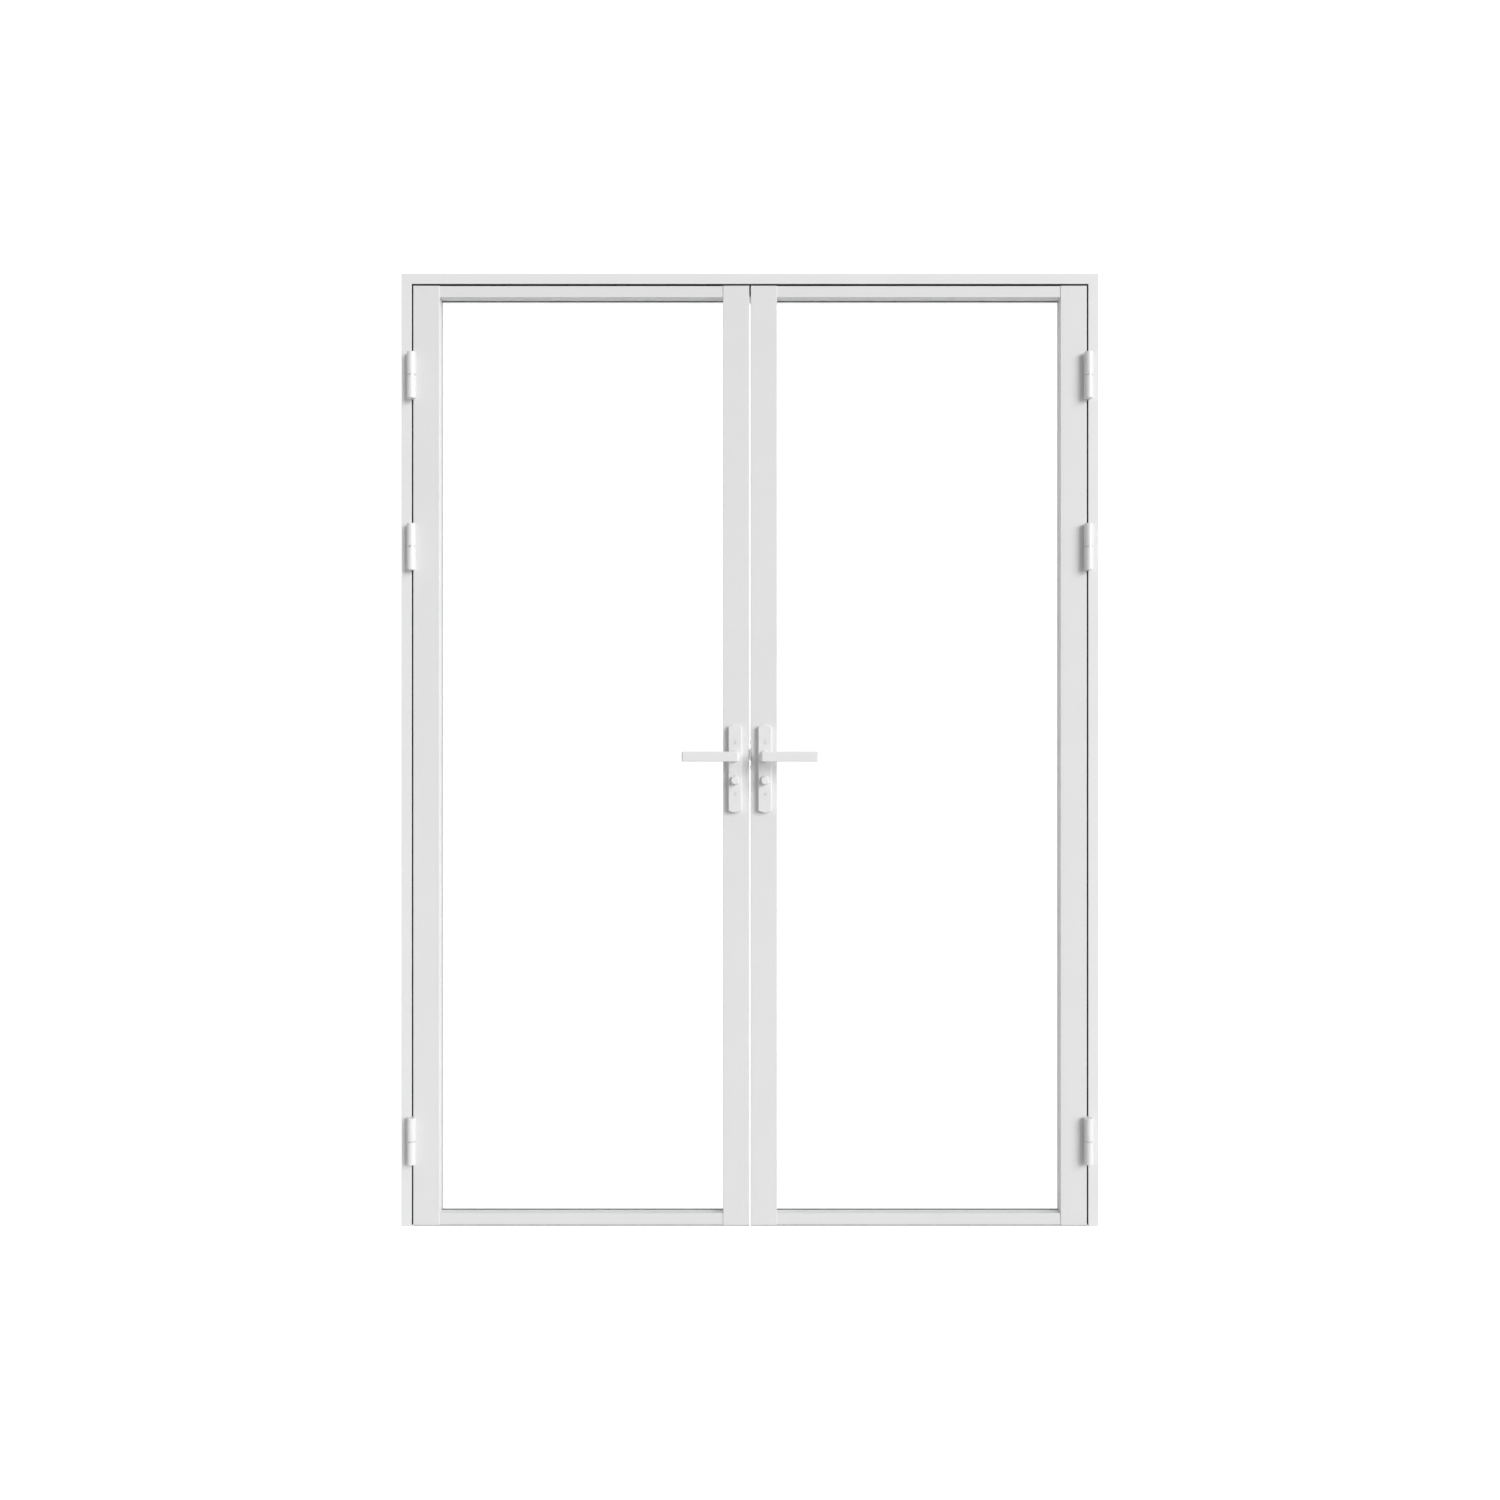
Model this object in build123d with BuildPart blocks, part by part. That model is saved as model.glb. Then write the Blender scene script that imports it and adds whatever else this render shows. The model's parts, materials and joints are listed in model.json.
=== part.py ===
"""Pair of glazed interior door leaves in a slim painted metal frame.

Millimetres. +Z is up and the front, the side the leaves open towards, faces -Y.
The origin is on the floor, midway between the jambs, in the mid-plane of the closed leaves.
Every leaf piece is drawn for the right leaf; the left leaf is its mirror image.
"""

import os
from math import cos, radians, sin

from build123d import *

os.makedirs("parts", exist_ok=True)

# Frame
frame_width = 1500
frame_height = 2050
frame_face = 22
frame_depth = 92.5
stop_height = 14
fixing_hole_radius = 4.5
fixing_inset = 300

# Gaps round the leaves
side_gap = 3.2
head_gap = 4
meeting_gap = 3.2
floor_gap = 3
seal_gap = 4

# Leaf sections
leaf_thickness = 45
stile_face = 56.4
rail_face = 24.5
rail_recess = 1.5
section_wall = 2
section_edge_radius = 1
lip_depth = 28
rebate_width = 15

# Glazing
glass_thickness = 6
glass_cover = 10
front_gasket_depth = 3
front_gasket_setback = 2
rear_gasket_depth = 2.5
rear_gasket_setback = 1
bead_setback = 3
bead_bevel = 2

# Seals
rebate_seal_width = 9
rebate_seal_foot = 1.2
floor_seal_width = 9
floor_seal_setback = 1
floor_clearance = 0.6

# Hinges
low_hinge_inset = 183
middle_hinge_inset = 563
top_hinge_inset = 195
hinge_length = 100
hinge_radius = 9.5
hinge_end_chamfer = 1
hinge_axis_reach = 10
hinge_ring_height = 2
hinge_ring_radius = 8.6
hinge_plate_thickness = 2.8
hinge_plate_reach = 28
hinge_let_in = 1.4
hinge_pin_radius = 5
hinge_pin_length = 45
hinge_pin_chamfer = 0.8

# Lever height, the other lock heights from it, and the axes' distance from the meeting edge
backset = 30.4
lever_height = 1011
turn_drop = 51
latch_rise = 4
bolt_rise = 14

# Handle plates
plate_width = 29
plate_length = 188
plate_rise = 68
plate_thickness = 12
plate_end_rise = 4
plate_edge_radius = 2
low_screw_inset = 40
top_screw_inset = 38
plate_screw_radius = 3
plate_screw_head_radius = 4
plate_screw_head_depth = 3
screw_slot_length = 5
screw_slot_width = 1.2
screw_slot_depth = 1.2

# Levers
lever_reach = 112.4
lever_tail = 10
lever_bar_height = 21
lever_bar_thickness = 9
lever_projection = 58
lever_bend_radius = 6
lever_heel_radius = 2
lever_tip_radius = 3
lever_edge_radius = 1.5
neck_radius = 9.5
neck_bite = 2
collar_radius = 13.5
collar_front_radius = 10.5
collar_length = 6
journal_radius = 8
journal_length = 9
spindle_side = 8
spindle_grip = 30

# Thumb turns and rear cylinders
turn_radius = 10.4
turn_length = 17
turn_sides = 8
turn_taper_angle = 6
turn_edge_chamfer = 0.8
turn_journal_radius = 6
turn_tail_side = 4
cylinder_radius = 8.5
cylinder_stand = 3
cylinder_edge_chamfer = 0.8
keyway_width = 2
keyway_length = 9
keyway_depth = 4

# Lock case and its works
case_wall = 1.5
case_thickness = 16
case_tail = 8.6
case_foot = 18
case_crown = 23
follower_hub_radius = 7
works_half_thickness = 4.2
arm_radius = 13.7
arm_half_width = 2
arm_lean_angle = 40
cam_hub_radius = 3.4
cam_boss_radius = 5
cam_arm_half_width = 3
cam_rear = 2.8
throw = 10
bolt_lead_angle = 30
rod_lead_angle = 45
drive_pin_radius = 1.5
yoke_front = 3.4
yoke_rear = 6

# Faceplate and strike
faceplate_width = 22
faceplate_overlap = 32
faceplate_thickness = 3
lip_height = 26
lip_stand = 4
lip_nose = 1
lip_thickness = 2.6
lip_end_radius = 1.1

# Latch, dead bolt, top bolt and magnet
flush_setback = 0.4
latch_nose = 1
latch_heel_gap = 13.4
latch_half_height = 11
latch_half_thickness = 6
latch_edge_radius = 1.5
latch_tail_front = 4.7
latch_tail_rise = 6
latch_tail_gap = 4.4
bolt_half_height = 9
bolt_half_thickness = 5
bolt_heel_gap = 12.4
bolt_edge_radius = 1
rod_radius = 4
rod_backset = 14
rod_end_chamfer = 1.5
yoke_drop = 12
yoke_rise = 2
yoke_wall = 1
magnet_front = 7.2
magnet_thickness = 2.4
magnet_half_height = 10

# Bolt keeper in the head
keeper_length = 24
keeper_width = 16
keeper_thickness = 1.5
keeper_tube_radius = 7
keeper_tube_height = 14
keeper_corner_radius = 3

# Clearances
running_clearance = 0.05
seat_clearance = 0.2
guide_clearance = 0.2
yoke_clearance = 0.7
window_clearance = 0.6
relief = 0.4
cut_overrun = 1

# Worked out from the sizes above
front_y = -leaf_thickness / 2
rear_y = leaf_thickness / 2
frame_rear_y = front_y + frame_depth
stop_y = rear_y + seal_gap
jamb_outer = frame_width / 2
jamb_inner = jamb_outer - frame_face
stop_inner = jamb_inner - stop_height
head_under = frame_height - frame_face
meeting_edge = meeting_gap / 2
hinge_edge = jamb_inner - side_gap
meeting_sight = meeting_edge + stile_face
hinge_sight = hinge_edge - stile_face
leaf_low = floor_gap
leaf_high = head_under - head_gap
fixing_heights = (fixing_inset, frame_height - fixing_inset)
hinge_heights = (
    leaf_low + low_hinge_inset,
    leaf_high - middle_hinge_inset,
    leaf_high - top_hinge_inset,
)
low_sight = leaf_low + rail_face
high_sight = leaf_high - rail_face
lip_rear = front_y + lip_depth
glass_front = lip_rear + front_gasket_depth
glass_rear = glass_front + glass_thickness
bead_front = glass_rear + rear_gasket_depth
plate_front = front_y - plate_thickness
plate_high = lever_height + plate_rise
plate_low = plate_high - plate_length
plate_screw_heights = (plate_low + low_screw_inset, plate_high - top_screw_inset)
turn_height = lever_height - turn_drop
latch_height = lever_height + latch_rise
bolt_height = turn_height + bolt_rise
lock_x = meeting_edge + backset
rod_x = meeting_edge + rod_backset
hinge_x = (jamb_inner + hinge_edge) / 2
hinge_y = front_y - hinge_axis_reach
case_front = meeting_edge + faceplate_thickness
case_back = lock_x + case_tail
case_half = case_thickness / 2
case_low = turn_height - case_foot
case_high = lever_height + case_crown
faceplate_half = faceplate_width / 2
faceplate_low = case_low - faceplate_overlap
faceplate_high = case_high + faceplate_overlap


def write(piece, name):
    """Label a finished piece and write its file."""
    piece.label = name
    export_step(piece, f"parts/{name}.step")


def write_pair(piece, name):
    """Write a right-hand piece and its mirror image on the left."""
    write(piece, f"right_{name}")
    write(piece.mirror(Plane.YZ), f"left_{name}")


def block(low, high, mode=Mode.ADD):
    """A block between two corners, in the part being built."""
    middle = tuple((a + b) / 2 for a, b in zip(low, high))
    with Locations(middle):
        Box(*[b - a for a, b in zip(low, high)], mode=mode)


def round_bar(x, z, radius, low, high, mode=Mode.ADD):
    """A round bar or bore along Y, in the part being built."""
    with Locations((x, (low + high) / 2, z)):
        Cylinder(radius, high - low, rotation=(90, 0, 0), mode=mode)


def square_bar(x, z, side, low, high, mode=Mode.ADD):
    """A square bar or socket along Y, in the part being built."""
    half = side / 2
    block((x - half, low, z - half), (x + half, high, z + half), mode)


def post(x, y, radius, low, high, mode=Mode.ADD):
    """A round post or bore along Z, in the part being built."""
    with Locations((x, y, (low + high) / 2)):
        Cylinder(radius, high - low, mode=mode)


def filled(points, inside):
    """A face with the given corners, all softened except the inside one."""
    with BuildSketch() as face:
        with BuildLine():
            Polyline(*points, close=True)
        make_face()
        fillet(face.vertices().sort_by_distance(inside)[1:], section_edge_radius)
    return face.sketch


def core(points):
    """The hollow inside a section with the given outside corners."""
    with BuildSketch() as face:
        with BuildLine():
            Polyline(*points, close=True)
        make_face()
        offset(amount=-section_wall, kind=Kind.INTERSECTION, mode=Mode.REPLACE)
    return face.sketch


def frame_outline(outer, inner, stop):
    """Corners of the frame's section, as distance across it and depth."""
    return (
        (inner, front_y),
        (outer, front_y),
        (outer, frame_rear_y),
        (stop, frame_rear_y),
        (stop, stop_y),
        (inner, stop_y),
    )


def stile_outline(edge, sight, rebate):
    """Corners of a stile's section, with the glazing rebate behind its sight edge."""
    return (
        (edge, front_y),
        (sight, front_y),
        (sight, lip_rear),
        (rebate, lip_rear),
        (rebate, rear_y),
        (edge, rear_y),
    )


def rail_outline(edge, sight, rebate):
    """Corners of a rail's section as depth and height; its face lies behind the stiles' faces."""
    face = front_y + rail_recess
    return (
        (face, edge),
        (rear_y, edge),
        (rear_y, rebate),
        (lip_rear, rebate),
        (lip_rear, sight),
        (face, sight),
    )


def seal_profile(across, level):
    """A domed seal on a flat foot, as distance across the stop and depth."""
    half = rebate_seal_width / 2
    foot = level - rebate_seal_foot
    with BuildSketch() as face:
        with BuildLine():
            Line((across - half, level), (across + half, level))
            Line((across + half, level), (across + half, foot))
            ThreePointArc(
                (across + half, foot), (across, rear_y + relief), (across - half, foot)
            )
            Line((across - half, foot), (across - half, level))
        make_face()
    return face.sketch


def mitre(hand, keep):
    """The plane of a frame corner's mitre: hand is 1 on the right; keep is 1 for the jamb."""
    return Plane((hand * jamb_outer, 0, frame_height), z_dir=(keep * hand, 0, -keep))


# Jambs: hollow sections, mitred at the top, let in for the hinges and drilled for the wall fixings
outline = frame_outline(jamb_outer, jamb_inner, stop_inner)
with BuildPart() as jamb:
    with BuildSketch():
        add(filled(outline, (jamb_inner, stop_y)))
        add(core(outline), mode=Mode.SUBTRACT)
    extrude(amount=frame_height)
    split(bisect_by=mitre(1, 1), keep=Keep.TOP)
    with BuildSketch(Plane.YZ.offset(stop_inner - cut_overrun)):
        with Locations([((stop_y + frame_rear_y) / 2, height) for height in fixing_heights]):
            Circle(fixing_hole_radius)
    extrude(amount=jamb_outer - stop_inner + 2 * cut_overrun, mode=Mode.SUBTRACT)
    for height in hinge_heights:
        block(
            (jamb_inner - cut_overrun, front_y - cut_overrun, height - hinge_length / 2),
            (jamb_inner + hinge_let_in, front_y + hinge_plate_reach, height + hinge_length / 2),
            Mode.SUBTRACT,
        )
write_pair(jamb.part, "jamb")

# Head: the same section across the top, with a hole for the top bolt's keeper
level_outline = frame_outline(frame_height, head_under, head_under - stop_height)
level_outline = [(depth, height) for height, depth in level_outline]
with BuildPart() as head:
    with BuildSketch(Plane.YZ.offset(-jamb_outer)):
        add(filled(level_outline, (stop_y, head_under)))
        add(core(level_outline), mode=Mode.SUBTRACT)
    extrude(amount=frame_width)
    split(bisect_by=mitre(1, -1), keep=Keep.TOP)
    split(bisect_by=mitre(-1, -1), keep=Keep.TOP)
    post(
        rod_x,
        0,
        keeper_tube_radius,
        head_under - cut_overrun,
        head_under + section_wall + cut_overrun,
        Mode.SUBTRACT,
    )
write(head.part, "head")

# Bolt keeper: a flanged tube let up into the head
with BuildPart() as keeper:
    with BuildSketch(Plane.XY.offset(head_under - keeper_thickness)):
        with Locations((rod_x, 0)):
            RectangleRounded(keeper_length, keeper_width, keeper_corner_radius)
    extrude(amount=keeper_thickness)
    post(rod_x, 0, keeper_tube_radius, head_under, head_under + keeper_tube_height)
    post(
        rod_x,
        0,
        rod_radius + window_clearance,
        head_under - keeper_thickness,
        head_under + keeper_tube_height,
        Mode.SUBTRACT,
    )
write(keeper.part, "bolt_keeper")

# Rebate seals on the stops, mitred in the corners like the frame
with BuildPart() as jamb_seal:
    with BuildSketch(Plane.XY.offset(leaf_low)):
        add(seal_profile(stop_inner + stop_height / 2, stop_y))
    extrude(amount=frame_height - leaf_low)
    split(bisect_by=mitre(1, 1), keep=Keep.TOP)
write_pair(jamb_seal.part, "jamb_seal")

with BuildPart() as head_seal:
    with BuildSketch(Plane((-jamb_outer, 0, 0), x_dir=(0, 0, 1), z_dir=(-1, 0, 0))):
        add(seal_profile(head_under - stop_height / 2, stop_y))
    extrude(amount=-frame_width)
    split(bisect_by=mitre(1, -1), keep=Keep.TOP)
    split(bisect_by=mitre(-1, -1), keep=Keep.TOP)
write(head_seal.part, "head_seal")


def hinge_half(height, on_leaf):
    """One hinge half: a knuckle and its plate. The frame's half carries the pin."""
    low, high = height - hinge_length / 2, height + hinge_length / 2
    half_ring = hinge_ring_height / 2
    knuckle_low = height + half_ring if on_leaf else low
    knuckle_high = high if on_leaf else height - half_ring
    away = -1 if on_leaf else 1
    seat = hinge_x + away * (side_gap / 2 + hinge_let_in)
    face = seat - away * hinge_plate_thickness
    with BuildPart() as half:
        post(hinge_x, hinge_y, hinge_radius, knuckle_low, knuckle_high)
        rims = half.edges().filter_by(GeomType.CIRCLE).sort_by(Axis.Z)
        chamfer(rims[-1] if on_leaf else rims[0], hinge_end_chamfer)
        block(
            (min(seat, face), front_y, low),
            (max(seat, face), front_y + hinge_plate_reach, high),
        )
        block(
            (min(seat, face), hinge_y, knuckle_low),
            (max(seat, face), front_y, knuckle_high),
        )
        if on_leaf:
            bore = hinge_pin_radius + running_clearance
            bore_end = height + hinge_pin_length + running_clearance
            post(hinge_x, hinge_y, bore, height, bore_end, Mode.SUBTRACT)
        else:
            post(hinge_x, hinge_y, hinge_pin_radius, knuckle_low, height + hinge_pin_length)
            tip = half.edges().filter_by(GeomType.CIRCLE).sort_by(Axis.Z)[-1]
            chamfer(tip, hinge_pin_chamfer)
    return half.part


# Hinge halves and bearing rings
for on_leaf, holder in ((False, "frame"), (True, "leaf")):
    with BuildPart() as hinges:
        for height in hinge_heights:
            add(hinge_half(height, on_leaf))
    write_pair(hinges.part, f"{holder}_hinges")

with BuildPart() as rings:
    half_ring = hinge_ring_height / 2
    for height in hinge_heights:
        for hand in (1, -1):
            x = hand * hinge_x
            post(x, hinge_y, hinge_ring_radius, height - half_ring, height + half_ring)
            bore = hinge_pin_radius + running_clearance
            post(x, hinge_y, bore, height - half_ring, height + half_ring, Mode.SUBTRACT)
write(rings.part, "hinge_rings")


def closed_stile(edge, sight, rebate):
    """A hollow stile closed by a plate at each end."""
    points = stile_outline(edge, sight, rebate)
    with BuildPart() as stile:
        with BuildSketch(Plane.XY.offset(leaf_low)):
            add(filled(points, (rebate, lip_rear)))
        extrude(amount=leaf_high - leaf_low)
        with BuildSketch(Plane.XY.offset(leaf_low + section_wall)):
            add(core(points))
        extrude(amount=leaf_high - leaf_low - 2 * section_wall, mode=Mode.SUBTRACT)
    return stile.part


# Hinge stile, let in for the leaf hinge plates
with BuildPart() as hinge_stile:
    add(closed_stile(hinge_edge, hinge_sight, hinge_sight + rebate_width))
    for height in hinge_heights:
        block(
            (hinge_edge - hinge_let_in, front_y - cut_overrun, height - hinge_length / 2),
            (hinge_edge + cut_overrun, front_y + hinge_plate_reach, height + hinge_length / 2),
            Mode.SUBTRACT,
        )
write_pair(hinge_stile.part, "hinge_stile")

# Meeting stile as both leaves share it, with openings for the lock
through_low = front_y - cut_overrun
through_high = rear_y + cut_overrun
with BuildPart() as meeting_stile:
    add(closed_stile(meeting_edge, meeting_sight, meeting_sight - rebate_width))
    block(
        (meeting_edge - cut_overrun, -faceplate_half, faceplate_low),
        (meeting_edge + section_wall + cut_overrun, faceplate_half, faceplate_high),
        Mode.SUBTRACT,
    )
    bore = journal_radius + seat_clearance
    round_bar(lock_x, lever_height, bore, through_low, through_high, Mode.SUBTRACT)
    bore = cylinder_radius + seat_clearance
    round_bar(lock_x, turn_height, bore, through_low, through_high, Mode.SUBTRACT)
    bore = plate_screw_radius + seat_clearance
    for height in plate_screw_heights:
        round_bar(lock_x, height, bore, through_low, through_high, Mode.SUBTRACT)
write(meeting_stile.part.mirror(Plane.YZ), "left_meeting_stile")

# The right meeting stile also has a notch for the strike's lip and a guide hole for the top bolt
lip_low = latch_height - lip_height / 2
lip_high = latch_height + lip_height / 2
with BuildPart() as right_meeting_stile:
    add(meeting_stile.part)
    block(
        (meeting_edge - cut_overrun, front_y - cut_overrun, lip_low - seat_clearance),
        (
            meeting_edge + lip_thickness + seat_clearance,
            -faceplate_half,
            lip_high + seat_clearance,
        ),
        Mode.SUBTRACT,
    )
    post(
        rod_x,
        0,
        rod_radius + running_clearance,
        leaf_high - section_wall - cut_overrun,
        leaf_high + cut_overrun,
        Mode.SUBTRACT,
    )
write(right_meeting_stile.part, "right_meeting_stile")


def rail(edge, sight, rebate):
    """A hollow rail between the stiles, with tongues that fill the ends of the rebate."""
    points = rail_outline(edge, sight, rebate)
    with BuildPart() as bar:
        with BuildSketch(Plane.YZ.offset(meeting_sight)):
            add(filled(points, (lip_rear, rebate)))
            add(core(points), mode=Mode.SUBTRACT)
        extrude(amount=hinge_sight - meeting_sight)
        for start in (meeting_sight - rebate_width, hinge_sight):
            block(
                (start, lip_rear, min(edge, rebate)),
                (start + rebate_width, rear_y - section_edge_radius, max(edge, rebate)),
            )
    return bar.part


# Rails
write_pair(rail(leaf_high, high_sight, high_sight + rebate_width), "top_rail")
write_pair(rail(leaf_low, low_sight, low_sight - rebate_width), "bottom_rail")


def pane(front, rear):
    """A sheet that covers the opening and the rebate round it."""
    block(
        (meeting_sight - glass_cover, front, low_sight - glass_cover),
        (hinge_sight + glass_cover, rear, high_sight + glass_cover),
    )


def gasket(front, rear, setback):
    """A ring against the glass, its inner edge set back from the sight edges."""
    with BuildPart() as ring:
        pane(front, rear)
        block(
            (meeting_sight - setback, front, low_sight - setback),
            (hinge_sight + setback, rear, high_sight + setback),
            Mode.SUBTRACT,
        )
    return ring.part


# Glass and the gaskets each side of it
with BuildPart() as glass:
    pane(glass_front, glass_rear)
write_pair(glass.part, "glass")
write_pair(gasket(lip_rear, glass_front, front_gasket_setback), "front_gasket")
write_pair(gasket(glass_rear, bead_front, rear_gasket_setback), "rear_gasket")


def bead_profile(sight, inwards):
    """A bead bevelled towards the glass, as distance across it and depth."""
    outer = sight - inwards * rebate_width
    inner = sight - inwards * bead_setback
    return (
        (outer, bead_front),
        (inner, bead_front),
        (inner, rear_y - bead_bevel),
        (inner - inwards * bead_bevel, rear_y),
        (outer, rear_y),
    )


# Glazing beads: uprights the full height of the rebate, level ones between them
with BuildPart() as upright_beads:
    for sight, inwards in ((meeting_sight, 1), (hinge_sight, -1)):
        with BuildSketch(Plane.XY.offset(low_sight - rebate_width)):
            with BuildLine():
                Polyline(*bead_profile(sight, inwards), close=True)
            make_face()
        extrude(amount=high_sight - low_sight + 2 * rebate_width)
write_pair(upright_beads.part, "upright_beads")
with BuildPart() as level_beads:
    for sight, inwards in ((low_sight, 1), (high_sight, -1)):
        with BuildSketch(Plane.YZ.offset(meeting_sight - bead_setback)):
            with BuildLine():
                Polyline(*[(y, z) for z, y in bead_profile(sight, inwards)], close=True)
            make_face()
        extrude(amount=hinge_sight - meeting_sight + 2 * bead_setback)
write_pair(level_beads.part, "level_beads")

# Floor seal under the leaf
with BuildPart() as floor_seal:
    block(
        (meeting_edge, front_y + floor_seal_setback, floor_clearance),
        (hinge_edge, front_y + floor_seal_setback + floor_seal_width, leaf_low),
    )
write_pair(floor_seal.part, "floor_seal")


def plate_outline():
    """A handle plate's face: straight sides and gently arched ends."""
    half = plate_width / 2
    left, right = lock_x - half, lock_x + half
    spring_low, spring_high = plate_low + plate_end_rise, plate_high - plate_end_rise
    with BuildSketch() as face:
        with BuildLine():
            Line((left, spring_low), (left, spring_high))
            ThreePointArc((left, spring_high), (lock_x, plate_high), (right, spring_high))
            Line((right, spring_high), (right, spring_low))
            ThreePointArc((right, spring_low), (lock_x, plate_low), (left, spring_low))
        make_face()
    return face.sketch


def handle_plate(turn_bore):
    """The front handle plate, with bores for the lever, the turn or cylinder, and the screws."""
    bores = [(lever_height, journal_radius + running_clearance), (turn_height, turn_bore)]
    bores += [(height, plate_screw_radius + seat_clearance) for height in plate_screw_heights]
    cut_low, cut_high = plate_front - cut_overrun, front_y + cut_overrun
    with BuildPart() as plate:
        with BuildSketch(Plane.XZ.offset(-front_y)):
            add(plate_outline())
        extrude(amount=plate_thickness)
        fillet(plate.faces().sort_by(Axis.Y)[0].edges(), plate_edge_radius)
        for height, bore in bores:
            round_bar(lock_x, height, bore, cut_low, cut_high, Mode.SUBTRACT)
        for height in plate_screw_heights:
            bore = plate_screw_head_radius + seat_clearance
            seat = plate_front + plate_screw_head_depth
            round_bar(lock_x, height, bore, cut_low, seat, Mode.SUBTRACT)
    return plate.part


# Handle plates: the rear one is the front one turned about, with the cylinder's bore
write_pair(handle_plate(turn_journal_radius + running_clearance), "front_plate")
write_pair(handle_plate(cylinder_radius).mirror(Plane.XZ), "rear_plate")

# Through screws that clamp the two plates, with a slot in each head
head_seat = plate_front + plate_screw_head_depth
with BuildPart() as plate_screws:
    for height in plate_screw_heights:
        round_bar(lock_x, height, plate_screw_radius, head_seat, -head_seat)
        for low, high in ((plate_front, head_seat), (-head_seat, -plate_front)):
            round_bar(lock_x, height, plate_screw_head_radius, low, high)
    for end, into in ((-plate_front, -1), (plate_front, 1)):
        with BuildSketch(Plane.XZ.offset(end)):
            with Locations([(lock_x, height) for height in plate_screw_heights]):
                Rectangle(screw_slot_width, screw_slot_length)
        extrude(amount=into * screw_slot_depth, mode=Mode.SUBTRACT)
write_pair(plate_screws.part, "plate_screws")

# Lever: a flat bar bent back to a round neck and flared collar, turning in the plate's bore
bar_front = front_y - lever_projection
bar_rear = bar_front + lever_bar_thickness
collar_rear = plate_front - seat_clearance
journal_end = collar_rear + journal_length
spindle_end = journal_end - spindle_grip
socket_side = spindle_side + 2 * running_clearance
with BuildPart() as lever:
    with BuildSketch(Plane.XY.offset(lever_height - lever_bar_height / 2)) as bar_plan:
        with BuildLine():
            Polyline(
                (lock_x - lever_tail, bar_rear),
                (lock_x - lever_tail, bar_front),
                (lock_x + lever_reach, bar_front),
                (lock_x + lever_reach, bar_rear),
                close=True,
            )
        make_face()
        fillet(bar_plan.vertices().sort_by(Axis.X)[-2:], lever_tip_radius)
        bend, heel = bar_plan.vertices().sort_by(Axis.X)[:2].sort_by(Axis.Y)
        fillet(bend, lever_bend_radius)
        fillet(heel, lever_heel_radius)
    extrude(amount=lever_bar_height)
    fillet(lever.faces().filter_by(Axis.Z).edges(), lever_edge_radius)
    round_bar(lock_x, lever_height, neck_radius, bar_rear - neck_bite, collar_rear)
    with Locations((lock_x, collar_rear - collar_length / 2, lever_height)):
        Cone(collar_radius, collar_front_radius, collar_length, rotation=(90, 0, 0))
    round_bar(lock_x, lever_height, journal_radius, collar_rear, journal_end)
    square_bar(lock_x, lever_height, socket_side, spindle_end, journal_end, Mode.SUBTRACT)
write_pair(lever.part, "front_lever")
write_pair(lever.part.mirror(Plane.XZ), "rear_lever")

# Spindle: a square bar from lever to lever
with BuildPart() as spindle:
    square_bar(lock_x, lever_height, spindle_side, spindle_end, -spindle_end)
write_pair(spindle.part, "spindle")


def swing_arm(height, lean_angle, radius, half_width, low, high):
    """An arm from a hub's middle, leaning from the vertical, with a rounded end."""
    across = radius * sin(radians(lean_angle))
    up = radius * cos(radians(lean_angle))
    with BuildPart() as arm:
        with BuildSketch(Plane.XZ.offset(-high)):
            with Locations((lock_x + across / 2, height + up / 2)):
                Rectangle(2 * half_width, radius, rotation=-lean_angle)
            with Locations((lock_x + across, height + up)):
                Circle(half_width)
        extrude(amount=high - low)
    return arm.part


# Followers: the hubs that the spindles turn in the lock cases
cut = case_half + cut_overrun
layer = works_half_thickness
with BuildPart() as follower:
    round_bar(lock_x, lever_height, follower_hub_radius, -case_half, case_half)
    add(swing_arm(lever_height, -arm_lean_angle, arm_radius, arm_half_width, -layer, layer))
    square_bar(lock_x, lever_height, socket_side, -cut, cut, Mode.SUBTRACT)
write_pair(follower.part, "follower")

# Lock cases: folded boxes, open behind the faceplate, with bearings for the follower and the cam
with BuildPart() as lock_case:
    block((case_front, -case_half, case_low), (case_back, case_half, case_high))
    block(
        (case_front - cut_overrun, -case_half + case_wall, case_low + case_wall),
        (case_back - case_wall, case_half - case_wall, case_high - case_wall),
        Mode.SUBTRACT,
    )
    for height, hub in ((lever_height, follower_hub_radius), (turn_height, cam_hub_radius)):
        round_bar(lock_x, height, hub + running_clearance, -cut, cut, Mode.SUBTRACT)
write(lock_case.part.mirror(Plane.YZ), "left_lock_case")
with BuildPart() as right_lock_case:
    add(lock_case.part)
    post(
        rod_x,
        0,
        rod_radius + running_clearance,
        case_high - case_wall - cut_overrun,
        case_high + cut_overrun,
        Mode.SUBTRACT,
    )
write(right_lock_case.part, "right_lock_case")


def edge_plate(play):
    """The plate in a meeting edge, with windows for the latch and the dead bolt."""
    with BuildPart() as plate:
        block(
            (meeting_edge, -faceplate_half, faceplate_low),
            (meeting_edge + faceplate_thickness, faceplate_half, faceplate_high),
        )
        for height, half_height, half_thickness in (
            (latch_height, latch_half_height, latch_half_thickness),
            (bolt_height, bolt_half_height, bolt_half_thickness),
        ):
            up, across = half_height + play, half_thickness + play
            block(
                (meeting_edge - cut_overrun, -across, height - up),
                (meeting_edge + faceplate_thickness + cut_overrun, across, height + up),
                Mode.SUBTRACT,
            )
    return plate.part


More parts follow.
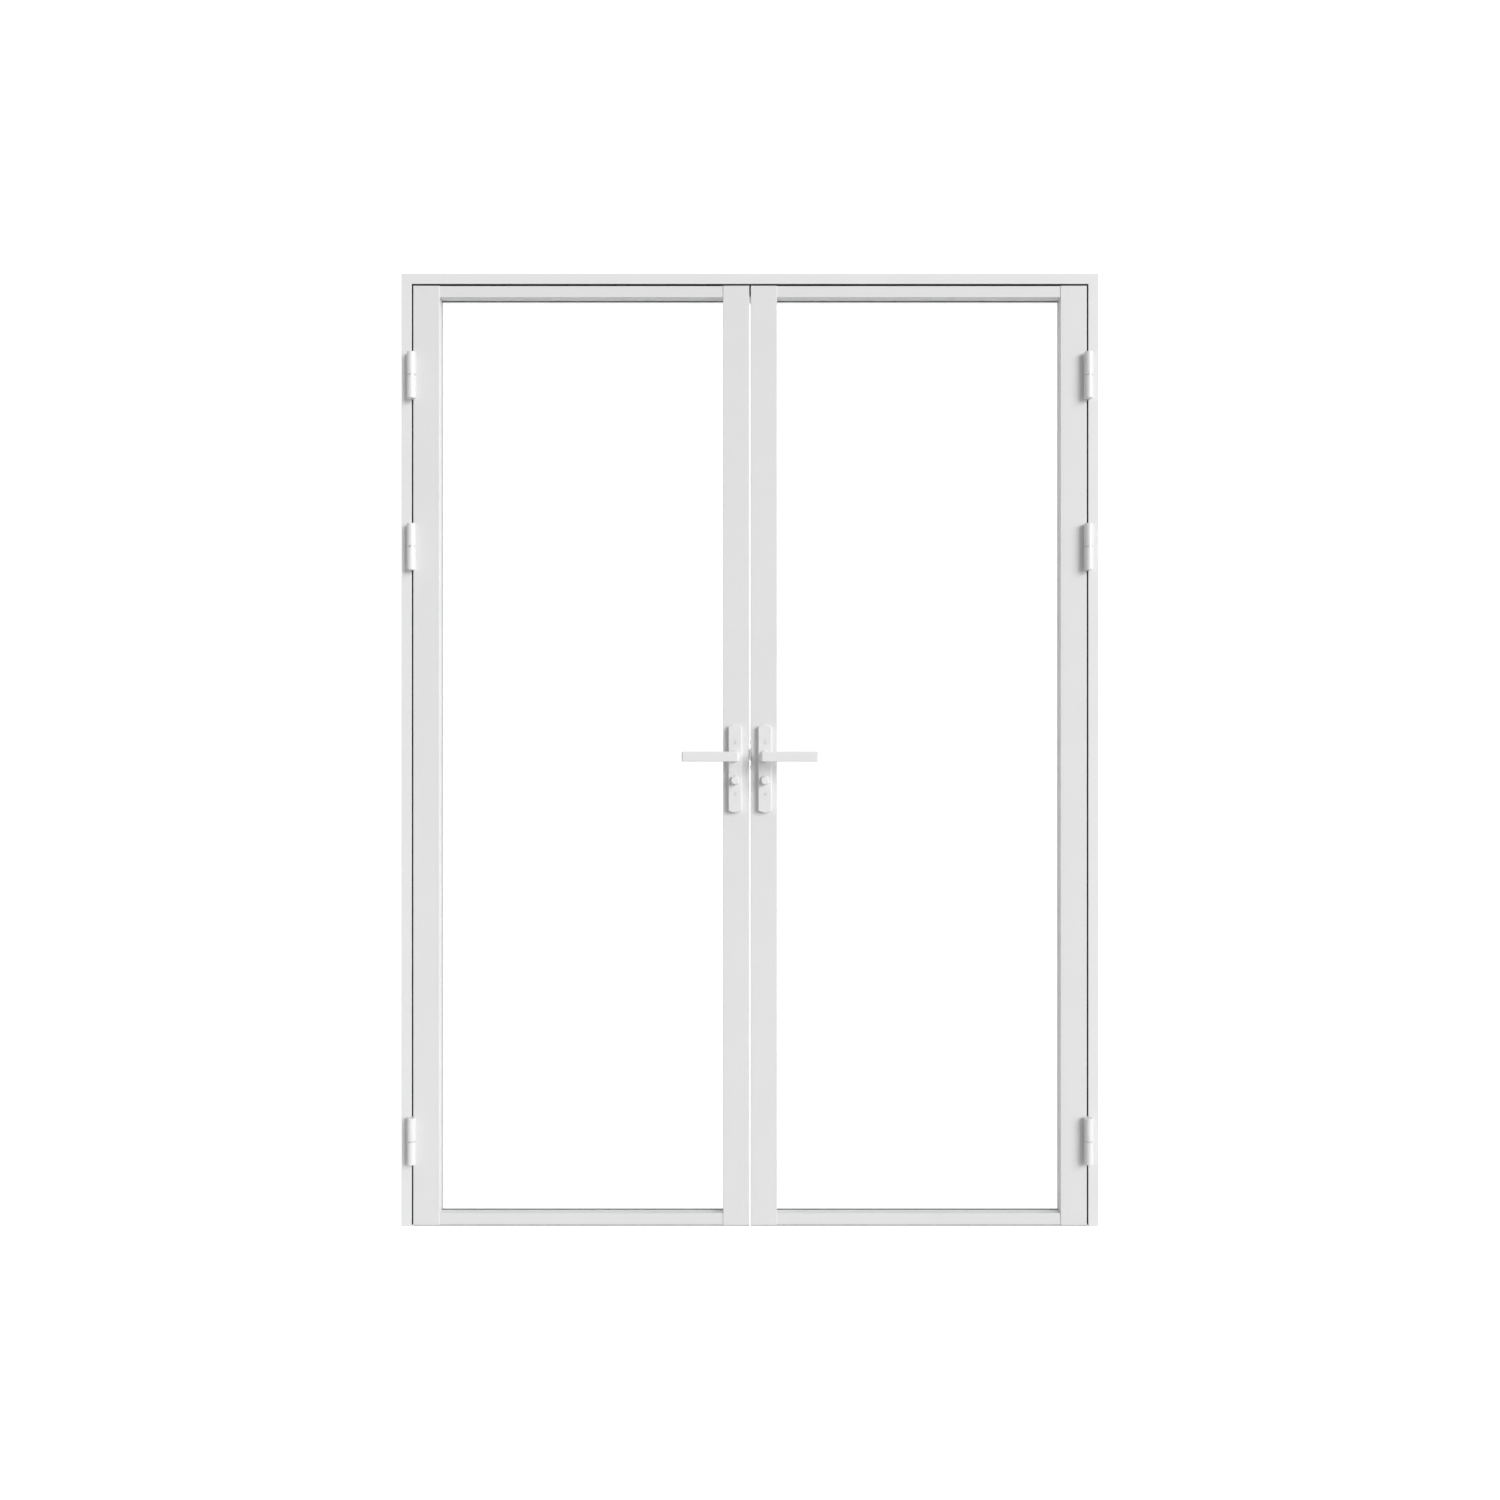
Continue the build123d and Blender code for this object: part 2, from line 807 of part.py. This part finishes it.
# Faceplate on the left leaf; strike on the right one, with a lip that comes forward past its face
write(edge_plate(guide_clearance).mirror(Plane.YZ), "left_faceplate")
with BuildPart() as strike:
    add(edge_plate(window_clearance))
    with BuildSketch(Plane.XY.offset(lip_low)) as lip_plan:
        with BuildLine():
            Polyline(
                (meeting_edge, -faceplate_half),
                (meeting_edge - lip_nose, -faceplate_half - lip_nose),
                (meeting_edge - lip_nose, front_y - lip_stand),
                (meeting_edge + lip_thickness, front_y - lip_stand),
                (meeting_edge + lip_thickness, -faceplate_half),
                close=True,
            )
        make_face()
        fillet(lip_plan.vertices().sort_by(Axis.Y)[:2], lip_end_radius)
    extrude(amount=lip_height)
write(strike.part, "right_strike")

# Magnet behind the strike, between the sides of the right lock case
with BuildPart() as magnet:
    side = case_half - case_wall
    block(
        (meeting_edge + magnet_front, -side, latch_height - magnet_half_height),
        (meeting_edge + magnet_front + magnet_thickness, side, latch_height + magnet_half_height),
    )
write(magnet.part, "right_strike_magnet")

# Thumb turn: a tapered, faceted knob on a journal in the front plate, with a square tail
with BuildPart() as thumb_turn:
    knob_rear = plate_front - seat_clearance
    with BuildSketch(Plane.XZ.offset(-knob_rear)):
        with Locations((lock_x, turn_height)):
            RegularPolygon(turn_radius, turn_sides)
    extrude(amount=turn_length, taper=turn_taper_angle)
    chamfer(thumb_turn.faces().sort_by(Axis.Y)[0].edges(), turn_edge_chamfer)
    round_bar(lock_x, turn_height, turn_journal_radius, knob_rear, front_y)
    square_bar(lock_x, turn_height, turn_tail_side, front_y, case_half - case_wall)
write_pair(thumb_turn.part, "thumb_turn")

# Cams: hubs that the turns' tails drive, each with an arm and a pin for the bolt's yoke
bolt_lead, rod_lead = radians(bolt_lead_angle), radians(rod_lead_angle)
bolt_crank = throw / (sin(bolt_lead) + cos(bolt_lead))
rod_crank = throw / (sin(rod_lead) + cos(rod_lead))
tail_socket = turn_tail_side + 2 * running_clearance


def bolt_cam(lean_angle, crank):
    """A cam whose pin leans from the vertical at rest."""
    pin_x = lock_x + crank * sin(radians(lean_angle))
    pin_z = turn_height + crank * cos(radians(lean_angle))
    with BuildPart() as cam:
        round_bar(lock_x, turn_height, cam_hub_radius, -case_half, case_half)
        round_bar(lock_x, turn_height, cam_boss_radius, -layer, cam_rear)
        add(swing_arm(turn_height, lean_angle, crank, cam_arm_half_width, -layer, cam_rear))
        round_bar(pin_x, pin_z, drive_pin_radius, cam_rear, yoke_rear)
        square_bar(lock_x, turn_height, tail_socket, -cut, cut, Mode.SUBTRACT)
    return cam.part


write(bolt_cam(bolt_lead_angle, bolt_crank).mirror(Plane.YZ), "left_bolt_cam")
write(bolt_cam(-rod_lead_angle - 90, rod_crank), "right_bolt_cam")

# Rear cylinders: round plugs with a keyway, held in the rear plates
with BuildPart() as rear_cylinder:
    cylinder_end = -plate_front + cylinder_stand
    round_bar(lock_x, turn_height, cylinder_radius, case_half + seat_clearance, cylinder_end)
    chamfer(rear_cylinder.faces().sort_by(Axis.Y)[-1].edges(), cylinder_edge_chamfer)
    with BuildSketch(Plane.XZ.offset(-cylinder_end)):
        with Locations((lock_x, turn_height)):
            SlotOverall(keyway_length, keyway_width, rotation=90)
    extrude(amount=keyway_depth, mode=Mode.SUBTRACT)
write_pair(rear_cylinder.part, "rear_cylinder")

# Latch: drawn in to its nose at rest, with a side tail beside the follower's arm
latch_heel = lock_x - latch_heel_gap
with BuildPart() as latch:
    block(
        (meeting_edge - latch_nose, -latch_half_thickness, latch_height - latch_half_height),
        (latch_heel, latch_half_thickness, latch_height + latch_half_height),
    )
    fillet(latch.faces().sort_by(Axis.X)[0].edges(), latch_edge_radius)
    block(
        (latch_heel - cut_overrun, latch_tail_front, latch_height + latch_tail_rise),
        (lock_x - latch_tail_gap, latch_half_thickness, latch_height + latch_half_height),
    )
write(latch.part.mirror(Plane.YZ), "latch")

# Dead bolt: drawn in flush at rest, with a side tail notched for the cam's pin
flush = meeting_edge + flush_setback
notch = drive_pin_radius + yoke_clearance
bolt_heel = lock_x - bolt_heel_gap
bolt_pin_x = lock_x + bolt_crank * sin(bolt_lead)
tail_low = turn_height + cam_hub_radius + relief
with BuildPart() as dead_bolt:
    block(
        (flush, -bolt_half_thickness, bolt_height - bolt_half_height),
        (bolt_heel, bolt_half_thickness, bolt_height + bolt_half_height),
    )
    fillet(dead_bolt.faces().sort_by(Axis.X)[0].edges(), bolt_edge_radius)
    block(
        (bolt_heel - cut_overrun, yoke_front, tail_low),
        (bolt_pin_x + notch + yoke_wall, yoke_rear, bolt_height + bolt_half_height),
    )
    block(
        (bolt_pin_x - notch, yoke_front - cut_overrun, tail_low - cut_overrun),
        (bolt_pin_x + notch, yoke_rear + cut_overrun, turn_height + bolt_crank + notch),
        Mode.SUBTRACT,
    )
write(dead_bolt.part.mirror(Plane.YZ), "dead_bolt")

# Top bolt: a rod up the right meeting stile, with a yoke for the cam's pin
rod_pin_z = turn_height - rod_crank * cos(rod_lead)
yoke_low, yoke_high = turn_height - yoke_drop, turn_height + yoke_rise
yoke_end = lock_x - cam_hub_radius - relief
with BuildPart() as top_bolt:
    post(rod_x, 0, rod_radius, yoke_low, leaf_high - flush_setback)
    chamfer(top_bolt.edges().filter_by(GeomType.CIRCLE).sort_by(Axis.Z)[-1], rod_end_chamfer)
    block((rod_x - rod_radius / 2, 0, yoke_low), (rod_x + rod_radius / 2, yoke_rear, yoke_high))
    block((rod_x, yoke_front, yoke_low), (yoke_end, yoke_rear, yoke_high))
    block(
        (lock_x - rod_crank - notch, yoke_front - cut_overrun, rod_pin_z - notch),
        (yoke_end + cut_overrun, yoke_rear + cut_overrun, rod_pin_z + notch),
        Mode.SUBTRACT,
    )
write(top_bolt.part, "top_bolt")
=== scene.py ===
"""Looks of the glazed double door: materials, small fasteners, light, floor and camera."""

import json
import math

import bmesh
import bpy
from mathutils import Matrix, Vector

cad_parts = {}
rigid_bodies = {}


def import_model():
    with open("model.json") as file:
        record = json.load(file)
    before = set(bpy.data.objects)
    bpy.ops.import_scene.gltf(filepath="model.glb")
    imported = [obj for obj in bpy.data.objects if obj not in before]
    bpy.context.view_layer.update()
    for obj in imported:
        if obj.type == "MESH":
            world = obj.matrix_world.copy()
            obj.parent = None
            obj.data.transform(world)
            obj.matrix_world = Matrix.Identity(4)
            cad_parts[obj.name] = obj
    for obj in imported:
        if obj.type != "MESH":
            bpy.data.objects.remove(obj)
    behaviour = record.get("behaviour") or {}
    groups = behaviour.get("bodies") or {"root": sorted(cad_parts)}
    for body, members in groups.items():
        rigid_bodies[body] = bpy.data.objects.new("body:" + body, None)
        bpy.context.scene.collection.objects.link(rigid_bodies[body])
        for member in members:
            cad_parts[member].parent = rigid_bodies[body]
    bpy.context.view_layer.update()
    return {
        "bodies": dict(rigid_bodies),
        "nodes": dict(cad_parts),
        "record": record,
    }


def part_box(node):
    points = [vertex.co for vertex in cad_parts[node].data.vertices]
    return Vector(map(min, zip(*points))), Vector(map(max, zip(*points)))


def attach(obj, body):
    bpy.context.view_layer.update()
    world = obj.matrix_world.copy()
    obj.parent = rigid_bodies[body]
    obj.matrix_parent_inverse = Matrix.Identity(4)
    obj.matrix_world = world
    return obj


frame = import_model()
nodes = frame["nodes"]
scene = bpy.context.scene
sides = (("left", -1), ("right", 1))

# Quaternions keep a body's place exact at every pose, also near a quarter turn
for body in frame["bodies"].values():
    body.rotation_mode = "QUATERNION"

# Most values of a noise texture lie between these two
noise_low = 0.3
noise_high = 0.7


def principled(name):
    """A new node material and its main shader."""
    material = bpy.data.materials.new(name)
    material.use_nodes = True
    tree = material.node_tree
    return material, tree, tree.nodes["Principled BSDF"]


def noise(tree, scale, detail, stretch=None):
    """The values of a noise texture in the part's own coordinates, in metres."""
    coords = tree.nodes.new("ShaderNodeTexCoord")
    texture = tree.nodes.new("ShaderNodeTexNoise")
    texture.inputs["Scale"].default_value = scale
    texture.inputs["Detail"].default_value = detail
    if stretch is None:
        tree.links.new(coords.outputs["Object"], texture.inputs["Vector"])
    else:
        mapping = tree.nodes.new("ShaderNodeMapping")
        mapping.inputs["Scale"].default_value = stretch
        tree.links.new(coords.outputs["Object"], mapping.inputs["Vector"])
        tree.links.new(mapping.outputs["Vector"], texture.inputs["Vector"])
    return texture.outputs["Fac"]


def colour(tree, shader, source, low, high):
    """Lets a texture vary the colour between two greys."""
    node = tree.nodes.new("ShaderNodeValToRGB")
    node.color_ramp.elements[0].position = noise_low
    node.color_ramp.elements[1].position = noise_high
    node.color_ramp.elements[0].color = (*low, 1)
    node.color_ramp.elements[1].color = (*high, 1)
    tree.links.new(source, node.inputs["Fac"])
    tree.links.new(node.outputs["Color"], shader.inputs["Base Color"])


def rough(tree, shader, source, low, high):
    """Lets a texture vary the roughness between two values."""
    node = tree.nodes.new("ShaderNodeMapRange")
    node.inputs["From Min"].default_value = noise_low
    node.inputs["From Max"].default_value = noise_high
    node.inputs["To Min"].default_value = low
    node.inputs["To Max"].default_value = high
    tree.links.new(source, node.inputs["Value"])
    tree.links.new(node.outputs["Result"], shader.inputs["Roughness"])


def bump(tree, shader, source, strength, distance):
    """Fine relief from a texture."""
    node = tree.nodes.new("ShaderNodeBump")
    node.inputs["Strength"].default_value = strength
    node.inputs["Distance"].default_value = distance
    tree.links.new(source, node.inputs["Height"])
    tree.links.new(node.outputs["Normal"], shader.inputs["Normal"])


def paint(name, grey, spread, low_rough, high_rough, peel):
    """Sprayed satin paint: slight clouding, uneven sheen and a fine orange-peel surface."""
    material, tree, shader = principled(name)
    cloud = noise(tree, scale=6.0, detail=3.0)
    dark = tuple(level - spread for level in grey)
    colour(tree, shader, cloud, dark, grey)
    sheen = noise(tree, scale=35.0, detail=2.0)
    rough(tree, shader, sheen, low_rough, high_rough)
    skin = noise(tree, scale=650.0, detail=1.0)
    bump(tree, shader, skin, strength=peel, distance=0.0002)
    shader.inputs["IOR"].default_value = 1.48
    return material


def steel(name, grey, stretch):
    """Ground bright steel with fine lines along one way."""
    line_shade = 0.86
    material, tree, shader = principled(name)
    shader.inputs["Metallic"].default_value = 1.0
    lines = noise(tree, scale=900.0, detail=3.0, stretch=stretch)
    dark = tuple(level * line_shade for level in grey)
    colour(tree, shader, lines, dark, grey)
    rough(tree, shader, lines, low=0.24, high=0.42)
    bump(tree, shader, lines, strength=0.12, distance=0.0001)
    return material


def rubber(name, grey):
    """Matt extruded rubber with a dusty skin."""
    dust_shade = 0.8
    material, tree, shader = principled(name)
    dust = noise(tree, scale=120.0, detail=4.0)
    dark = tuple(level * dust_shade for level in grey)
    colour(tree, shader, dust, dark, grey)
    rough(tree, shader, dust, low=0.7, high=0.9)
    grain = noise(tree, scale=1800.0, detail=1.0)
    bump(tree, shader, grain, strength=0.2, distance=0.0001)
    return material


def glass(name):
    """Clear float glass, very slightly uneven in its gloss."""
    material, tree, shader = principled(name)
    shader.inputs["Base Color"].default_value = (0.985, 0.995, 0.99, 1)
    shader.inputs["Transmission Weight"].default_value = 1.0
    shader.inputs["IOR"].default_value = 1.45
    smear = noise(tree, scale=3.0, detail=2.0)
    rough(tree, shader, smear, low=0.0, high=0.012)
    return material


materials = {
    "frame_paint": paint(
        "frame_paint", (0.80, 0.80, 0.80), spread=0.012, low_rough=0.34, high_rough=0.46, peel=0.10
    ),
    "leaf_paint": paint(
        "leaf_paint", (0.76, 0.76, 0.762), spread=0.012, low_rough=0.34, high_rough=0.46, peel=0.10
    ),
    "hardware_paint": paint(
        "hardware_paint", (0.79, 0.79, 0.79), spread=0.01, low_rough=0.28, high_rough=0.38, peel=0.06
    ),
    "bright_steel": steel("bright_steel", (0.62, 0.62, 0.62), stretch=(1.0, 1.0, 0.04)),
    "black_rubber": rubber("black_rubber", (0.035, 0.035, 0.036)),
    "clear_glass": glass("clear_glass"),
}
for part in frame["record"]["subparts"]:
    mesh = nodes[part["node"]].data
    mesh.materials.clear()
    mesh.materials.append(materials[part["material_slot"]])

# Softer greys on the glazing gaskets and the floor seals; the gaskets' mid grey also paints the
# shade in the glazing grooves
gasket_grey_and_shade = rubber("gasket_grey_and_shade", (0.22, 0.22, 0.222))
pale_rubber = rubber("pale_rubber", (0.5, 0.5, 0.5))
for side in ("left", "right"):
    for place in ("front", "rear"):
        nodes[f"{side}_{place}_gasket"].data.materials[0] = gasket_grey_and_shade
    nodes[f"{side}_floor_seal"].data.materials[0] = pale_rubber

# Soft edges on the pieces whose edges show, so they catch the light as painted edges do
edge_width = 0.0004
edge_angle = math.radians(40)
soft_words = ("lever", "plate", "hinges", "turn", "cylinder")
for name, obj in nodes.items():
    if any(word in name for word in soft_words):
        modifier = obj.modifiers.new("soft_edges", "BEVEL")
        modifier.width = edge_width
        modifier.segments = 2
        modifier.limit_method = "ANGLE"
        modifier.angle_limit = edge_angle


def add_piece(name, bm, body, slot):
    """Makes one object from a finished mesh, with a slot's material, riding on a body."""
    mesh = bpy.data.meshes.new(name)
    bm.to_mesh(mesh)
    bm.free()
    mesh.materials.append(materials[slot])
    obj = bpy.data.objects.new(name, mesh)
    scene.collection.objects.link(obj)
    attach(obj, body)


def screw_head(bm, place, outward, radius, stand):
    """Adds a screw head with a hexagon socket, standing a little proud of the surface at place."""
    round_count = 24
    socket_count = 6
    buried = 0.0006
    chamfer = 0.00025
    socket_depth = 0.0018
    turn = Vector((0, 0, 1)).rotation_difference(Vector(outward)).to_matrix().to_4x4()
    to_place = Matrix.Translation(Vector(place)) @ turn
    rings = (
        (radius, -buried, round_count),
        (radius, stand - chamfer, round_count),
        (radius * 0.88, stand, round_count),
        (radius * 0.50, stand, socket_count),
        (radius * 0.46, stand - socket_depth, socket_count),
    )
    loops = []
    for size, height, count in rings:
        angles = [2 * math.pi * i / count for i in range(count)]
        points = [Vector((size * math.cos(a), size * math.sin(a), height)) for a in angles]
        loops.append([bm.verts.new(to_place @ point) for point in points])
    for lower, upper in zip(loops, loops[1:]):
        step = len(lower) // len(upper)
        for i in range(len(upper)):
            run = [lower[(i * step + k) % len(lower)] for k in range(step + 1)]
            bm.faces.new(run + [upper[(i + 1) % len(upper)], upper[i]])
    bm.faces.new(loops[-1])
    bm.faces.new(list(reversed(loops[0])))


def screws(name, body, places, outward, radius, stand=0.00025):
    """A set of alike bright screw heads as one object on a body."""
    bm = bmesh.new()
    for place in places:
        screw_head(bm, place, outward, radius, stand)
    bmesh.ops.recalc_face_normals(bm, faces=bm.faces)
    add_piece(name, bm, body, "bright_steel")


def strips(name, body, slot, boxes):
    """Thin straight strips, each given by its lowest and highest corner, as one object on a body."""
    bm = bmesh.new()
    for low, high in boxes:
        size = [b - a for a, b in zip(low, high)]
        middle = [(a + b) / 2 for a, b in zip(low, high)]
        place = Matrix.Translation(middle) @ Matrix.Diagonal((*size, 1))
        bmesh.ops.create_cube(bm, size=1.0, matrix=place)
    add_piece(name, bm, body, slot)


# Screws in the hinge plates, four to a plate: depth in the frame, and height from the hinge's middle
hinge_heights = (0.186, 1.461, 1.829)
hinge_screw_spots = ((-0.010, -0.034), (-0.004, -0.012), (-0.004, 0.012), (-0.010, 0.034))
hinge_screw_radius = 0.0038
frame_plate_face = 0.7266
leaf_plate_face = 0.7262
for side, hand in sides:
    for holder, body, face, away in (
        ("frame", "frame", frame_plate_face, -1),
        ("leaf", f"{side}_leaf", leaf_plate_face, 1),
    ):
        places = [
            (hand * face, depth, height + rise)
            for height in hinge_heights
            for depth, rise in hinge_screw_spots
        ]
        outward = (hand * away, 0, 0)
        screws(f"{side}_{holder}_hinge_screws", body, places, outward, hinge_screw_radius)

# Screws at the ends of the faceplate and the strike
edge_plate_face = 0.0016
edge_screw_heights = (0.918, 1.058)
edge_screw_radius = 0.0036
for node, body, hand in (("left_faceplate", "left_leaf", -1), ("right_strike", "right_leaf", 1)):
    places = [(hand * edge_plate_face, 0, height) for height in edge_screw_heights]
    screws(f"{node}_screws", body, places, (-hand, 0, 0), edge_screw_radius)

# Screws above and below the strike's magnet, with heads that stand further out
pan_screw_heights = (0.9875, 1.0415)
pan_screw_radius = 0.0033
pan_screw_stand = 0.0008
places = [(edge_plate_face, 0, height) for height in pan_screw_heights]
screws(
    "right_strike_pan_screws", "right_leaf", places, (-1, 0, 0), pan_screw_radius, pan_screw_stand
)

# Painted shade in the painted plate screws' slots, front and rear: thin steel strips at the slot
# bottoms that show as dark dots
plate_screw_heights = (0.931, 1.041)
slot_floor = 0.0012
slot_shade_thickness = 0.0003
slot_half_width = 0.00055
slot_half_length = 0.0024
for side in ("left", "right"):
    boxes = []
    for place, into in (("front", 1), ("rear", -1)):
        low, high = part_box(f"{side}_{place}_plate")
        middle = (low[0] + high[0]) / 2
        face = low[1] if place == "front" else high[1]
        near, far = sorted((face + into * slot_floor, face + into * (slot_floor - slot_shade_thickness)))
        for height in plate_screw_heights:
            corner = (middle - slot_half_width, near, height - slot_half_length)
            opposite = (middle + slot_half_width, far, height + slot_half_length)
            boxes.append((corner, opposite))
    strips(f"{side}_plate_screw_slot_shade", f"{side}_leaf", "bright_steel", boxes)

# Black rubber linings in the jambs' rebates, between the hinge plates; their black also paints the
# deep shade in the narrow gaps beside the leaves
lining_front = -0.0215
lining_rear = -0.0015
lining_foot = 0.003
lining_thickness = 0.0006
jamb_face = 0.728
head_face = 2.028
head_lining_face = head_face - lining_thickness
hinge_plate_half = 0.0502
stops = [lining_foot]
for height in hinge_heights:
    stops += [height - hinge_plate_half, height + hinge_plate_half]
stops.append(head_lining_face)
for side, hand in sides:
    near, far = sorted((hand * (jamb_face - lining_thickness), hand * jamb_face))
    boxes = [
        ((near, lining_front, low), (far, lining_rear, high))
        for low, high in zip(stops[::2], stops[1::2])
    ]
    strips(f"{side}_jamb_shade_lining", "frame", "black_rubber", boxes)

# Black rubber lining in the head's rebate, around the keeper; its black also paints the deep shade
# in the gap above the leaves
keeper_left = 0.0033
keeper_right = 0.0279
keeper_front = -0.0085
boxes = [
    ((low, lining_front, head_lining_face), (high, rear, head_face))
    for low, high, rear in (
        (-jamb_face, keeper_left, lining_rear),
        (keeper_left, keeper_right, keeper_front),
        (keeper_right, jamb_face, lining_rear),
    )
]
strips("head_shade_lining", "frame", "black_rubber", boxes)


def mix_seen(tree, lit, seen, output):
    """Shows one shader to the camera and through the glass, and lights the door with the other."""
    path = tree.nodes.new("ShaderNodeLightPath")
    looked_at = tree.nodes.new("ShaderNodeMath")
    looked_at.operation = "MAXIMUM"
    tree.links.new(path.outputs["Is Camera Ray"], looked_at.inputs[0])
    tree.links.new(path.outputs["Is Transmission Ray"], looked_at.inputs[1])
    mix = tree.nodes.new("ShaderNodeMixShader")
    tree.links.new(looked_at.outputs["Value"], mix.inputs["Fac"])
    tree.links.new(lit, mix.inputs[1])
    tree.links.new(seen, mix.inputs[2])
    tree.links.new(mix.outputs["Shader"], output.inputs["Surface"])


# Just over full white, so that floor and studio are seen as one white ground
white_level = 1.12

# Floor: pale, seen as white, lit as a plain pale floor is
reach = 6.0
floor_mesh = bpy.data.meshes.new("floor")
floor_mesh.from_pydata(
    [(-reach, -reach, 0), (reach, -reach, 0), (reach, reach, 0), (-reach, reach, 0)],
    [],
    [(0, 1, 2, 3)],
)
floor = bpy.data.objects.new("floor", floor_mesh)
scene.collection.objects.link(floor)
floor_material = bpy.data.materials.new("floor")
floor_material.use_nodes = True
tree = floor_material.node_tree
tree.nodes.clear()
output = tree.nodes.new("ShaderNodeOutputMaterial")
matt = tree.nodes.new("ShaderNodeBsdfDiffuse")
matt.inputs["Color"].default_value = (0.65, 0.65, 0.65, 1)
pale = tree.nodes.new("ShaderNodeEmission")
pale.inputs["Strength"].default_value = white_level
mix_seen(tree, matt.outputs["BSDF"], pale.outputs["Emission"], output)
floor_mesh.materials.append(floor_material)

# Studio: white where it is seen, softer as a light and dimmest in front
front_light = 0.23
rear_light = 1.02
world = bpy.data.worlds.new("studio")
scene.world = world
world.use_nodes = True
tree = world.node_tree
tree.nodes.clear()
output = tree.nodes.new("ShaderNodeOutputWorld")
coords = tree.nodes.new("ShaderNodeTexCoord")
split = tree.nodes.new("ShaderNodeSeparateXYZ")
depth = tree.nodes.new("ShaderNodeMapRange")
depth.inputs["From Min"].default_value = -1.0
depth.inputs["From Max"].default_value = 1.0
depth.inputs["To Min"].default_value = front_light
depth.inputs["To Max"].default_value = rear_light
ambient = tree.nodes.new("ShaderNodeBackground")
ambient.inputs["Color"].default_value = (1, 1, 1, 1)
tree.links.new(coords.outputs["Generated"], split.inputs["Vector"])
tree.links.new(split.outputs["Y"], depth.inputs["Value"])
tree.links.new(depth.outputs["Result"], ambient.inputs["Strength"])
white = tree.nodes.new("ShaderNodeBackground")
white.inputs["Color"].default_value = (1, 1, 1, 1)
white.inputs["Strength"].default_value = white_level
mix_seen(tree, ambient.outputs["Background"], white.outputs["Background"], output)

# Key light: a large, far softbox to the right, in front of the door and above it
key_direction = (0.655, -0.689, 0.310)
key_strength = 2.62
key_spread = math.radians(36)
key_data = bpy.data.lights.new("key", "SUN")
key_data.energy = key_strength
key_data.angle = key_spread
key = bpy.data.objects.new("key", key_data)
key.rotation_mode = "QUATERNION"
key.rotation_quaternion = Vector(key_direction).to_track_quat("Z", "Y")
scene.collection.objects.link(key)

# Camera: straight on, at the height and distance worked out from the photograph
camera_distance = 3.1605
camera_height = 1.025
camera_data = bpy.data.cameras.new("camera")
camera_data.sensor_width = 36
camera_data.lens = 35
camera = bpy.data.objects.new("camera", camera_data)
camera.location = (0, -camera_distance, camera_height)
camera.rotation_euler = (math.radians(90), 0, 0)
scene.collection.objects.link(camera)
scene.camera = camera
scene.view_settings.view_transform = "Standard"
